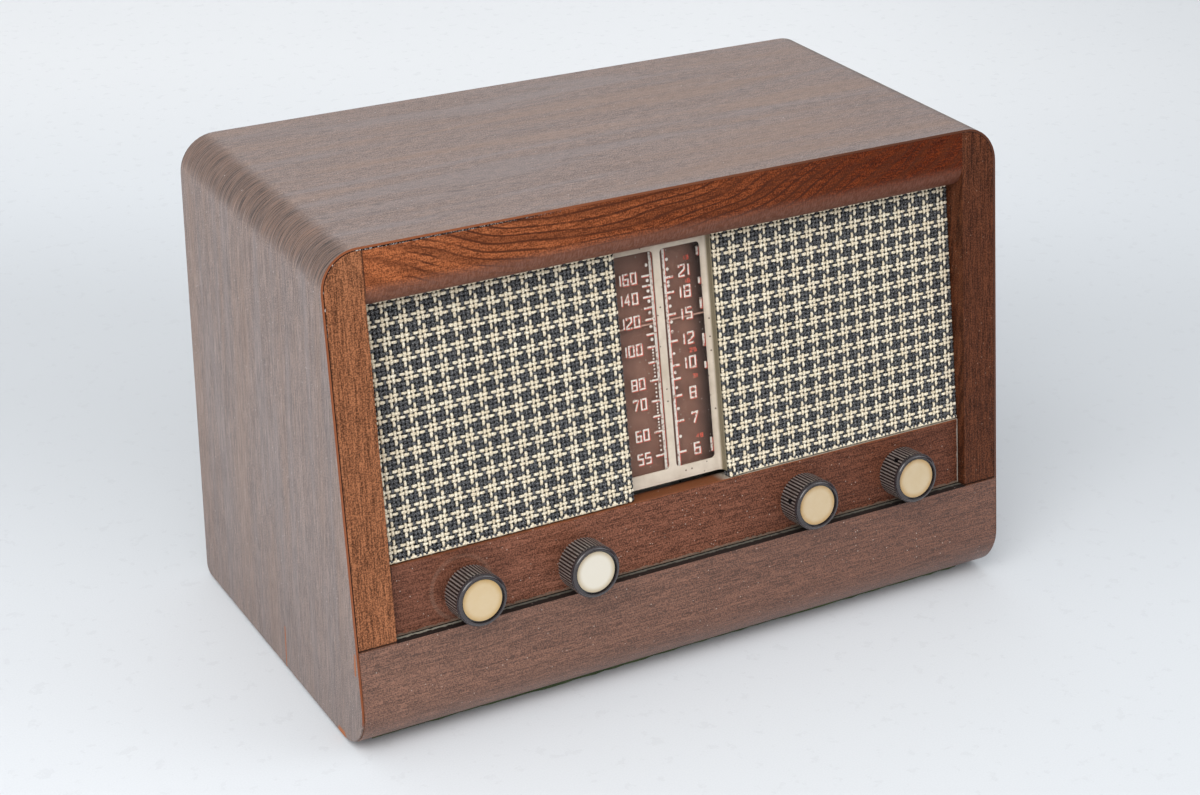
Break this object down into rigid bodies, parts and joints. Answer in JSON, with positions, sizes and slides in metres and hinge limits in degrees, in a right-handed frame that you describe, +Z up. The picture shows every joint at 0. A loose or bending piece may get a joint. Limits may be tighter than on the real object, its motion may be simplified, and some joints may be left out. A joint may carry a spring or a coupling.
{
  "type": "radio receiver",
  "caption": "Table radio receiver in a bent wooden cabinet with woven grilles, an upright tuning dial and a row of control knobs.",
  "frame": {"origin": "middle of the underside of the felt pad, halfway between the sides and halfway along the sides' lower edge", "axes": "+X to the right seen from the front, -Y out of the front, +Z up"},
  "size_m": [0.406, 0.2329, 0.2696],
  "materials": {
    "outer_veneer": "worn satin lacquer",
    "front_frame": "satin lacquer",
    "top_rail_veneer": "satin lacquer",
    "dark_board": "satin lacquer",
    "plain_wood": "bare",
    "green_felt": "matt",
    "grille_cloth": "matt",
    "escutcheon_metal": "satin",
    "dial_glass": "clear",
    "hardboard": "bare",
    "plated_steel": "plated",
    "chassis_steel": "plated",
    "dial_paint": "matt",
    "drive_cord": "matt",
    "lamp_metal": "plain",
    "aluminium_leaves": "plain",
    "grey_paint": "satin",
    "magnet_iron": "painted",
    "cone_paper": "matt",
    "core_iron": "lacquered",
    "coil_paper": "waxed",
    "can_aluminium": "plain",
    "brown_phenolic": "satin",
    "black_moulding": "gloss",
    "valve_glass": "clear",
    "brass_turned": "plain",
    "drum_zinc": "plain",
    "pointer_paint": "satin",
    "knob_moulding": "satin",
    "disc_yellow": "satin",
    "disc_white": "satin"
  },
  "bodies": {
    "cabinet": {"cabinet_wrap": "outer_veneer", "left_stile": "front_frame", "right_stile": "front_frame", "top_rail": "top_rail_veneer", "control_board": "dark_board", "plinth_rail": "dark_board", "bottom_board": "plain_wood", "felt_pad": "green_felt", "side_cleats": "plain_wood", "corner_blocks": "plain_wood", "left_grille_board": "plain_wood", "right_grille_board": "plain_wood", "left_grille_cloth": "grille_cloth", "right_grille_cloth": "grille_cloth", "dial_escutcheon": "escutcheon_metal", "dial_glass": "dial_glass", "back_cover": "hardboard", "back_screws": "plated_steel", "chassis": "chassis_steel", "chassis_runners": "plain_wood", "chassis_bolts": "plated_steel", "dial_bracket": "dial_paint", "dial_rods": "plated_steel", "dial_cord": "drive_cord", "dial_lamps": "lamp_metal", "gang_frame": "chassis_steel", "gang_stators": "aluminium_leaves", "speaker_basket": "grey_paint", "speaker_magnet": "magnet_iron", "speaker_screws": "plated_steel", "transformer_cores": "core_iron", "transformer_coils": "coil_paper", "smoothing_can": "can_aluminium", "coil_cans": "can_aluminium", "valve_sockets": "brown_phenolic", "valve_bases": "black_moulding", "valve_bulbs": "valve_glass", "control_pots": "plated_steel", "band_switch": "brown_phenolic", "tuning_bush": "brass_turned", "control_nuts": "plated_steel", "terminal_strip": "brown_phenolic"},
    "tuning_gang": {"gang_rotor": "aluminium_leaves", "tuning_drum": "drum_zinc"},
    "pointer": {"dial_pointer": "pointer_paint"},
    "tuning": {"tuning_spindle": "plated_steel", "tuning_knob": "knob_moulding", "tuning_disc": "disc_yellow"},
    "upper_pulley": {"idler_top": "brass_turned"},
    "lower_pulley": {"idler_low": "brass_turned"},
    "volume": {"volume_shaft": "plated_steel", "volume_knob": "knob_moulding", "volume_disc": "disc_yellow"},
    "tone": {"tone_shaft": "plated_steel", "tone_knob": "knob_moulding", "tone_disc": "disc_white"},
    "band": {"band_shaft": "plated_steel", "band_knob": "knob_moulding", "band_disc": "disc_yellow"},
    "speaker_moving_part": {"speaker_cone": "cone_paper"}
  },
  "joints": [
    {"name": "gang_turn", "type": "hinge", "parent": "cabinet", "child": "tuning_gang", "pos_m": [0.104, -0.06977, 0.13738], "axis": [0, 0.9799, -0.1994], "range_deg": [-127.8, 52.2]},
    {"name": "pointer_slide", "type": "slide", "parent": "cabinet", "child": "pointer", "axis": [0, 0.1994, 0.9799], "range_m": [-0.0725, 0.0296]},
    {"name": "tuning_turn", "type": "hinge", "parent": "cabinet", "child": "tuning", "pos_m": [0.1387, -0.10092, 0.07987], "axis": [0, 0.99, -0.1409], "range_deg": [-1339, 547]},
    {"name": "upper_pulley_turn", "type": "hinge", "parent": "cabinet", "child": "upper_pulley", "pos_m": [0.046, -0.05043, 0.23243], "axis": [0, 0.9799, -0.1994], "range_deg": [-681, 278]},
    {"name": "lower_pulley_turn", "type": "hinge", "parent": "cabinet", "child": "lower_pulley", "pos_m": [0.046, -0.07605, 0.10651], "axis": [0, 0.9799, -0.1994], "range_deg": [-681, 278]},
    {"name": "volume_turn", "type": "hinge", "parent": "cabinet", "child": "volume", "pos_m": [-0.1372, -0.10092, 0.07987], "axis": [0, 0.99, -0.1409], "range_deg": [0, 300]},
    {"name": "tone_turn", "type": "hinge", "parent": "cabinet", "child": "tone", "pos_m": [-0.0725, -0.10092, 0.07987], "axis": [0, 0.99, -0.1409], "range_deg": [-150, 150]},
    {"name": "band_turn", "type": "hinge", "parent": "cabinet", "child": "band", "pos_m": [0.0717, -0.10092, 0.07987], "axis": [0, 0.99, -0.1409], "range_deg": [0, 30]},
    {"name": "cone_slide", "type": "slide", "parent": "cabinet", "child": "speaker_moving_part", "axis": [0, 0.9799, -0.1994], "range_m": [-0.001, 0.001], "stiffness_N_per_m": 1000}
  ],
  "couplings": [
    {"joint": "pointer_slide", "follows": "gang_turn", "m_per_rad": 0.032468},
    {"joint": "tuning_turn", "follows": "gang_turn", "ratio": 10.473},
    {"joint": "upper_pulley_turn", "follows": "gang_turn", "ratio": 5.3226},
    {"joint": "lower_pulley_turn", "follows": "gang_turn", "ratio": 5.3226}
  ]
}
